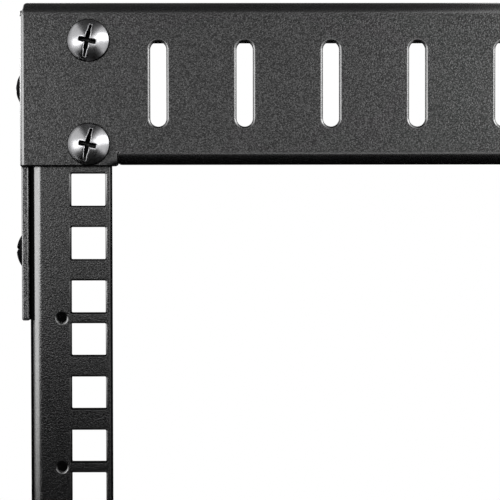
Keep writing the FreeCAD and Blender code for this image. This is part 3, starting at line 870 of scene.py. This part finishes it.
face_screw = screw_mesh("face_screw", HEAD_HEIGHT, FACE_SCREW_LENGTH, bright_plate)
ear_screw = screw_mesh("ear_screw", EAR_HEAD_HEIGHT, EAR_SCREW_LENGTH, black_plate)
rack_sides = (("left", -1), ("right", 1))
rack_corners = [(f"{end}_{side}", sign, edge_z, way)
                for end, edge_z, way in (("top", bay_top, 1), ("bottom", bay_bottom, -1))
                for side, sign in rack_sides]
for corner, sign, edge_z, way in rack_corners:
    for label, height in zip(("inner", "outer"), FACE_SCREWS):
        place = (sign * FACE_SCREW_COLUMN, rail_front, edge_z + way * height)
        fastener(f"{corner}_{label}_face_screw", face_screw, facing(place, TO_FRONT, UPWARD, FACE_SCREW_TURN))
    for label, height, turn in EAR_SCREWS:
        place = (sign * rail_high.x, post_front + EAR_SCREW_BACK, edge_z + way * height)
        fastener(f"{corner}_{label}_ear_screw", ear_screw, facing(place, (sign, 0, 0), UPWARD, turn))

# Cage nuts
# Behind each face screw a square nut floats in a clip of blue-black spring steel, whose two legs
# reach through the post's square hole and grip its sides.
CAGE_SHEET = 0.7
CAGE_EDGE = (0.15, 0.15)
CAGE_FOLD = 1.2
CAGE_HALF = 4.9
CAGE_HEIGHT = 8.4
CAGE_CORNER = 1.5
CAGE_BACK = -6.6
CAGE_LEG = 8.2
CAGE_HOLE = 7.4
NUT_WIDTH, NUT_TALL, NUT_LOW, NUT_HIGH = 8.2, 9.4, -5.7, -1.1
NUT_BORE = 3.1
NUT_BORE_STEPS = 32
cage_line = CAGE_HALF - CAGE_FOLD
leg_end = cage_line + CAGE_FOLD * math.pi / 2 + CAGE_LEG - CAGE_FOLD


def fold_cage(across, up, depth):
    """From the flat strip to the clip: its back plate, and two legs folded to the front."""
    on, forward = folded(abs(across) - cage_line, depth, CAGE_FOLD)
    return math.copysign(cage_line + on, across), -up, CAGE_BACK + forward


def soften(piece, width, segments, angle):
    """Rounds those edges of a piece that turn by more than an angle."""
    edge = piece.modifiers.new("soft_edges", "BEVEL")
    edge.width = width * MM
    edge.segments = segments
    edge.limit_method = "ANGLE"
    edge.angle_limit = math.radians(angle)


cage_outline = rectangle(-leg_end, leg_end, -CAGE_HEIGHT / 2, CAGE_HEIGHT / 2, CAGE_CORNER)
cage_creases = [((side * line, -CAGE_HEIGHT), (side * line, CAGE_HEIGHT))
                for side in LEFT_AND_RIGHT for line in fold_lines(cage_line, CAGE_FOLD)]
spring_steel = plated("spring_steel", (0.16, 0.16, 0.18, 1), (0.10, 0.10, 0.11, 1), 0.3)
cage = sheet_piece("cage", cage_outline, [round_hole(0, 0, CAGE_HOLE, CAGE_EDGE)], cage_creases, fold_cage,
                   (spring_steel,), CAGE_SHEET, CAGE_EDGE)
nut_plan = rectangle(-NUT_WIDTH / 2, NUT_WIDTH / 2, -NUT_TALL / 2, NUT_TALL / 2)
nut_points = [(*corner, height) for height in (NUT_LOW, NUT_HIGH) for corner in nut_plan]
nut_faces = [(3, 2, 1, 0), (4, 5, 6, 7), *bands([(0, 1, 2, 3), (4, 5, 6, 7)])]
nut = new_piece("square_nut", nut_points, nut_faces, bright_plate)
# The bore is cut with the dark metal of painted shade
bore = turned_piece("nut_bore", [(NUT_BORE, NUT_LOW - 1), (NUT_BORE, NUT_HIGH + 1)],
                    NUT_BORE_STEPS, painted_shade_metal)
cut = nut.modifiers.new("cut", "BOOLEAN")
cut.object = bore
cut.solver = "EXACT"
cut.material_mode = "TRANSFER"
soften(nut, 0.4, 2, 35)
bpy.context.view_layer.update()
bored = nut.evaluated_get(bpy.context.evaluated_depsgraph_get())
cage_nut = joined("cage_nut", cage, piece_of("bored_nut", bpy.data.meshes.new_from_object(bored)))
for done in (nut, bore):
    bpy.data.objects.remove(done)
for corner, sign, edge_z, way in rack_corners:
    for label, height in zip(("inner", "outer"), FACE_SCREWS):
        place = (sign * FACE_SCREW_COLUMN, post_front + SHEET, edge_z + way * height)
        fastener(f"{corner}_{label}_cage_nut", cage_nut, facing(place, TO_FRONT, UPWARD))

# Clinch nuts
# Inside the posts each ear screw ends in a low round nut of plated steel, pressed into the sheet
# from behind.
TURNED_STEPS = 48
CLINCH_PROFILE = ((4.9, -0.6), (5.0, 0.0), (5.0, 0.4), (5.3, 0.5), (5.5, 0.8), (5.5, 3.1), (5.1, 3.5),
                  (3.6, 3.5), (3.0, 2.9))
clinch_nut = mesh_of(turned_piece("clinch_nut", CLINCH_PROFILE, TURNED_STEPS, bright_plate))
for corner, sign, edge_z, way in rack_corners:
    for label, height, _ in EAR_SCREWS:
        place = (sign * (-post_low.x - SHEET), post_front + EAR_SCREW_BACK, edge_z + way * height)
        fastener(f"{corner}_{label}_ear_nut", clinch_nut, facing(place, (-sign, 0, 0), UPWARD))

# Feet
# Two rectangular steel tubes lie under the posts, powder coated, with a plastic plug driven into
# each end. The plugs are moulded with a fine grain and have softened edges.
PLUG_DARK = (0.016, 0.016, 0.017, 1)
PLUG_LIGHT = (0.030, 0.030, 0.031, 1)


def moulded(name, scale, dustiness, dark, light, smooth, rough, relief, depth):
    """A grained finish of plastic or rubber, between a dark and a light tone."""
    material, tree, shader = new_finish(name)
    skin = effect(tree, grain, scale=scale)
    film = effect(tree, dust, amount=dustiness)
    colour = mixed_colour(tree, skin["Blotches"], dark, light)
    shade(tree, shader, base_color=mixed_colour(tree, film["Mask"], colour, DUST_GREY),
          roughness=between(tree, skin["Specks"], smooth, rough),
          normal=raised(tree, skin["Height"], relief, depth))
    return material


def refinish(node, finish):
    """Gives a node of the frame a finish of its own."""
    solid = bpy.data.objects[node]
    solid.data.materials.clear()
    solid.data.materials.append(finish)
    return solid


tube_ends = (("front", -1), ("rear", 1))
foot_corners = [f"{end}_{side}" for end, _ in tube_ends for side, _ in rack_sides]
plug_plastic = moulded("plug_plastic", 2200.0, 0.3, PLUG_DARK, PLUG_LIGHT, 0.38, 0.5, 0.25, 0.00006)
for side, _ in rack_sides:
    refinish(f"{side}_foot_tube", powder_coat)
for corner in foot_corners:
    soften(refinish(f"{corner}_plug", plug_plastic), 0.5, 3, 40)

# Levelling feet
# Under each tube end a plated stud with a hexagon collar screws into the tube, its ball end held in
# a grooved rubber pad.
STUD_THREAD = (5.0, 1.5, 0.75)
STUD_STEPS, STUD_ROWS = 36, 6
COLLAR_FLATS = 17.0
COLLAR_LOW, COLLAR_HIGH = 14.0, 20.0
COLLAR_TRIM = 0.2
PAD_DARK = (0.012, 0.012, 0.012, 1)
PAD_LIGHT = (0.026, 0.026, 0.025, 1)
PAD_PROFILE = ((18.6, 0.0), (19.6, 0.3), (20.0, 0.9), (20.0, 1.5), (19.4, 1.8), (19.4, 2.2), (20.0, 2.5),
               (20.0, 3.3), (19.7, 3.8), (19.0, 4.0), (13.0, 4.4), (12.0, 4.9), (11.3, 6.0), (11.0, 7.4),
               (11.0, 8.4), (10.6, 8.9), (10.0, 9.0), (6.4, 9.0), (6.0, 8.7))
PAD_STEPS = 72


def hexagon(name, flats, low, high, trim):
    """A bright hexagon with its corners turned off at both ends."""
    half, middle, edge = flats / 2, (low + high) / 2, 0.05

    def six_sided(angle, reach, height):
        if reach < half:
            return reach, height
        side = half / math.cos((angle + math.pi / 6) % (math.pi / 3) - math.pi / 6)
        drop = (side - half) * math.tan(math.radians(30))
        return side, height + math.copysign(drop, middle - height)

    profile = ((half - trim, low), (half, low + edge), (half, high - edge), (half - trim, high))
    return turned_piece(name, profile, TURNED_STEPS, bright_plate, six_sided)


pad_rubber = moulded("pad_rubber", 900.0, 0.6, PAD_DARK, PAD_LIGHT, 0.62, 0.8, 0.3, 0.00012)
pad_mesh = mesh_of(turned_piece("levelling_pad", PAD_PROFILE, PAD_STEPS, pad_rubber))
stud_low, stud_high = millimetres("front_left_stud")
rod = threaded("stud_rod", STUD_THREAD, stud_low.z, stud_high.z, bright_plate, STUD_STEPS, STUD_ROWS)
collar = hexagon("stud_collar", COLLAR_FLATS, COLLAR_LOW, COLLAR_HIGH, COLLAR_TRIM)
stud_mesh = joined("levelling_stud", rod, collar)
for corner in foot_corners:
    low, high = millimetres(f"{corner}_pad")
    stand = Matrix.Translation(Vector(((low.x + high.x) / 2, (low.y + high.y) / 2, 0)) * MM)
    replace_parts(fastener(f"{corner}_stud_threaded", stud_mesh, stand), f"{corner}_stud")
    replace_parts(fastener(f"{corner}_pad_grooved", pad_mesh, stand), f"{corner}_pad")

# Gussets
# Behind each post a bracket folded from 3 mm sheet ties the web to the tube: an upright plate with
# a sloping edge, and a flange along the tube's top.
GUSSET_SHEET = 3.0
GUSSET_FOLD = 4.8
GUSSET_NOTCH = 8.2
GUSSET_NOTCH_CORNER = 2.0
GUSSET_TOE = 20.0
GUSSET_FLANGE = 28.0
GUSSET_CORNER = 8.0
GUSSET_FOOT_START = 6.0
GUSSET_BOLTS = (68.0, 168.0)
gusset_low, gusset_high = millimetres("left_gusset")
gusset_web = gusset_low.x
gusset_foot = post_back + GUSSET_FOOT_START
gusset_top = gusset_high.z - gusset_low.z


def fold_gusset(back, up, depth):
    """From the flat sheet to the left gusset: the plate stands, the flange is folded onto the tube."""
    on, across = folded(GUSSET_FOLD - up, depth, GUSSET_FOLD)
    return gusset_web + across, -back, gusset_low.z + GUSSET_FOLD - on


def on_flange(across):
    """Where a place on the flange, so far from the web, lies on the flat sheet."""
    return GUSSET_FOLD - GUSSET_FOLD * math.pi / 2 - (across - GUSSET_FOLD)


gusset_outline = rounded([
    (-gusset_high.y, on_flange(GUSSET_FLANGE), GUSSET_CORNER),
    (-gusset_foot, on_flange(GUSSET_FLANGE), GUSSET_CORNER),
    (-gusset_foot, GUSSET_NOTCH, 0),
    (-gusset_low.y, GUSSET_NOTCH, GUSSET_NOTCH_CORNER),
    (-gusset_low.y, gusset_top, GUSSET_CORNER),
    (-post_back, gusset_top, GUSSET_CORNER),
    (-gusset_high.y, GUSSET_TOE, GUSSET_CORNER),
])
gusset_holes = [round_hole(-post_front - GUSSET_SCREW_BACK, height - gusset_low.z)
                for height in GUSSET_SCREWS]
gusset_holes += [round_hole(-bolt_y, on_flange(-tube_line - gusset_web)) for bolt_y in GUSSET_BOLTS]
gusset_levels = [2 * GUSSET_FOLD - line for line in fold_lines(GUSSET_FOLD, GUSSET_FOLD)]
gusset_creases = [((-gusset_high.y - beyond, level), (-gusset_foot + beyond, level))
                  for level in gusset_levels]
left_gusset = sheet_piece("left_gusset_folded", gusset_outline, gusset_holes, gusset_creases, fold_gusset,
                          (powder_coat,), GUSSET_SHEET)
replace_sheet(left_gusset, "left_gusset")
replace_sheet(other_side(left_gusset, "right_gusset_folded"), "right_gusset")

# Gusset screws and foot bolts
# Black pan-head screws in clinch nuts, like those of the ears, hold each gusset to its web. Plated
# hexagon bolts on washers hold the gussets' flanges and the bottom rail's cap down on the tubes.
BOLT_FLATS = 10.0
BOLT_HEAD = 4.2
BOLT_TRIM = 0.1
BOLT_LENGTH = 12.0
WASHER_RADIUS = 6.2
WASHER_HOLE = 3.2
WASHER_HEIGHT = 1.2
WASHER_EDGE = 0.2
GUSSET_SCREW_TURN = math.radians(40)
washer_profile = ((WASHER_RADIUS - WASHER_EDGE, 0), (WASHER_RADIUS, WASHER_EDGE),
                  (WASHER_RADIUS, WASHER_HEIGHT - WASHER_EDGE), (WASHER_RADIUS - WASHER_EDGE, WASHER_HEIGHT),
                  (WASHER_HOLE, WASHER_HEIGHT))
washer = turned_piece("washer", washer_profile, TURNED_STEPS, bright_plate)
bolt_shank = threaded("bolt_shank", SCREW_THREAD, -BOLT_LENGTH, WASHER_HEIGHT, bright_plate)
bolt_head = hexagon("bolt_head", BOLT_FLATS, WASHER_HEIGHT, WASHER_HEIGHT + BOLT_HEAD, BOLT_TRIM)
hex_bolt = joined("hex_bolt", bolt_head, bolt_shank, washer)
cap_inner = bay_bottom - CAP_FACE + SHEET
flange_top = gusset_low.z + GUSSET_SHEET
for side, sign in rack_sides:
    for label, height in zip(("low", "high"), GUSSET_SCREWS):
        outside = (-sign * post_low.x, post_front + GUSSET_SCREW_BACK, height)
        inside = (-sign * (gusset_web + GUSSET_SHEET), post_front + GUSSET_SCREW_BACK, height)
        fastener(f"{side}_{label}_gusset_screw", ear_screw,
                 facing(outside, (sign, 0, 0), UPWARD, GUSSET_SCREW_TURN))
        fastener(f"{side}_{label}_gusset_nut", clinch_nut, facing(inside, (-sign, 0, 0), UPWARD))
    for (label, _), bolt_y in zip(tube_ends, GUSSET_BOLTS):
        place = (sign * tube_line, bolt_y, flange_top)
        fastener(f"{side}_{label}_gusset_bolt", hex_bolt, facing(place, UPWARD, TO_BACK))
    for label, way in tube_ends:
        place = (sign * tube_line, way * FOOT_BOLT_BACK, cap_inner)
        fastener(f"{side}_{label}_foot_bolt", hex_bolt, facing(place, UPWARD, TO_BACK))

# Floor, light and camera
# A pale studio floor that glows to white at its rim, five soft lamps round the photographed corner,
# and dark cards that stand and lie about it, which only shiny surfaces show. All are in metres.
FLOOR_HALF = 1.6
FLOOR_GLOW = 0.75
FLOOR_DARK = (0.66, 0.66, 0.66, 1)
FLOOR_LIGHT = (0.72, 0.72, 0.72, 1)
WHITE = (1, 1, 1, 1)
ROOM_FILL = 0.1
lit_corner = Vector((-0.235, -0.04, 0.80))


def seen_rays(tree):
    """Whether a ray comes from the camera, or from a shiny or clear surface."""
    rays = add_node(tree, "ShaderNodeLightPath", {}).outputs
    seen = calculate(tree, "MAXIMUM", rays["Is Camera Ray"], rays["Is Glossy Ray"])
    return calculate(tree, "MAXIMUM", seen, rays["Is Transmission Ray"])


def stage_piece(name, points, faces, finish):
    """A piece of the studio, which isn't part of the rack."""
    piece = new_piece(name, [Vector(point) / MM for point in points], faces, finish)
    return piece


floor_paint, tree, shader = new_finish("floor_paint")
place = place_on_piece(tree)
distance = add_node(tree, "ShaderNodeVectorMath", {0: place}, operation="LENGTH").outputs["Value"]
glow = spread(tree, distance, 0.5 * FLOOR_HALF, FLOOR_HALF, FLOOR_GLOW, 1.0)
shade(tree, shader, base_color=mixed_colour(tree, noise(tree, place, 3.0, 4.0), FLOOR_DARK, FLOOR_LIGHT),
      roughness=0.9, emission_color=WHITE,
      emission_strength=calculate(tree, "MULTIPLY", seen_rays(tree), glow))
floor_corners = rectangle(-FLOOR_HALF, FLOOR_HALF, -FLOOR_HALF, FLOOR_HALF)
stage_piece("floor", [(*corner, 0) for corner in floor_corners], [(0, 1, 2, 3)], floor_paint)

card_black, tree, shader = new_finish("card_black")
shade(tree, shader, base_color=(0.004, 0.004, 0.004, 1), specular_ior_level=0.0)
card_grey = card_black.copy()
card_grey.name = "card_grey"
tree = card_grey.node_tree
shade(tree, tree.nodes["Principled BSDF"], emission_color=WHITE, emission_strength=0.05)


def card(name, points, faces, finish=card_black):
    """A dark card that only shiny surfaces show."""
    piece = stage_piece(name, points, faces, finish)
    piece.visible_camera = False
    piece.visible_diffuse = False
    piece.visible_shadow = False
    piece.visible_transmission = False


def lying_card(name, middle, near, far, near_half, far_half, finish=card_black):
    """A card that lies from a near line (y, z) to a far one, as wide at each as it says."""
    points = [(middle - near_half, *near), (middle + near_half, *near),
              (middle + far_half, *far), (middle - far_half, *far)]
    card(name, points, [(0, 1, 2, 3)], finish)


def standing_card(name, path, low, high):
    """A black card that stands along a path, from one height to another."""
    count = len(path)
    points = [(x, y, z) for z in (low, high) for x, y in path]
    card(name, points, [(step, step + 1, count + step + 1, count + step) for step in range(count - 1)])


lying_card("low_card", -0.18, (-0.064, 0.45), (-0.493, 0.585), 0.36, 0.40)
lying_card("low_back_card", -0.19, (0.30, 0.70), (-0.05, 0.70), 0.45, 0.45)
lying_card("high_card", -0.225, (0.50, 1.08), (-0.66, 1.08), 0.175, 0.175, card_grey)
standing_card("front_low_card", [(-0.48, -0.40), (-0.215, -0.40)], 0.50, 0.768)
standing_card("right_low_card", [(-0.215, -0.40), (0.05, -0.40)], 0.50, 0.70)
standing_card("left_low_card", [(-0.40, -0.40), (-0.47, -0.25), (-0.52, -0.10)], 0.50, 0.67)
standing_card("post_card", [(-0.20, -0.11), (-0.20, 0.06)], 0.20, 0.797)
standing_card("left_back_card", [(-0.62, -0.03), (-0.50, 0.30), (-0.27, 0.30)], 0.20, 0.825)
standing_card("back_card", [(-0.27, 0.30), (0.30, 0.30), (0.30, -0.04)], 0.20, 1.00)


def lamp(name, azimuth, distance, low, high, width, radiance):
    """A soft lamp that looks at the corner from an angle, counted to the left from the front."""
    angle = math.radians(azimuth)
    away = Vector((-math.sin(angle), -math.cos(angle), 0))
    light = bpy.data.lights.new(name, "AREA")
    light.shape = "RECTANGLE"
    light.size = width
    light.size_y = high - low
    light.energy = radiance * math.pi * width * (high - low)
    holder = bpy.data.objects.new(name, light)
    holder.location = lit_corner + distance * away
    holder.location.z = (low + high) / 2
    holder.rotation_euler = (-away).to_track_quat("-Z", "Y").to_euler()
    bpy.context.scene.collection.objects.link(holder)


lamp("left_lamp", 47, 0.8, 0.63, 1.00, 0.80, 2.4)
lamp("fill_lamp", 24, 0.9, 0.76, 1.05, 0.30, 1.7)
lamp("rim_lamp", 118, 0.8, 0.90, 1.15, 0.45, 5.5)
lamp("right_lamp", -65, 0.9, 0.94, 1.35, 0.85, 4.5)
lamp("front_lamp", -33, 1.12, 0.75, 1.25, 0.50, 2.0)

world = bpy.data.worlds.new("studio")
bpy.context.scene.world = world
world.use_nodes = True
tree = world.node_tree
tree.nodes.clear()
white = add_node(tree, "ShaderNodeBackground", {"Color": WHITE, "Strength": 1.0}).outputs[0]
fill = add_node(tree, "ShaderNodeBackground", {"Color": WHITE, "Strength": ROOM_FILL}).outputs[0]
sky = add_node(tree, "ShaderNodeMixShader", {0: seen_rays(tree), 1: fill, 2: white}).outputs[0]
add_node(tree, "ShaderNodeOutputWorld", {"Surface": sky})

CAMERA_PLACE = (-0.18812, -0.460, 0.79426)
CAMERA_YAW = math.radians(0.488)
CAMERA_PITCH = math.radians(-1.147)
CAMERA_ROLL = math.radians(-0.093)
lens = bpy.data.cameras.new("camera")
lens.sensor_width = 36.0
lens.lens = 101.85
lens.clip_start = 0.01
camera = bpy.data.objects.new("camera", lens)
bpy.context.scene.collection.objects.link(camera)
camera.matrix_world = (Matrix.Translation(CAMERA_PLACE) @ Matrix.Rotation(-CAMERA_YAW, 4, "Z")
                       @ Matrix.Rotation(math.pi / 2 + CAMERA_PITCH, 4, "X")
                       @ Matrix.Rotation(CAMERA_ROLL, 4, "Z"))
bpy.context.scene.camera = camera
bpy.context.scene.view_settings.view_transform = "Standard"
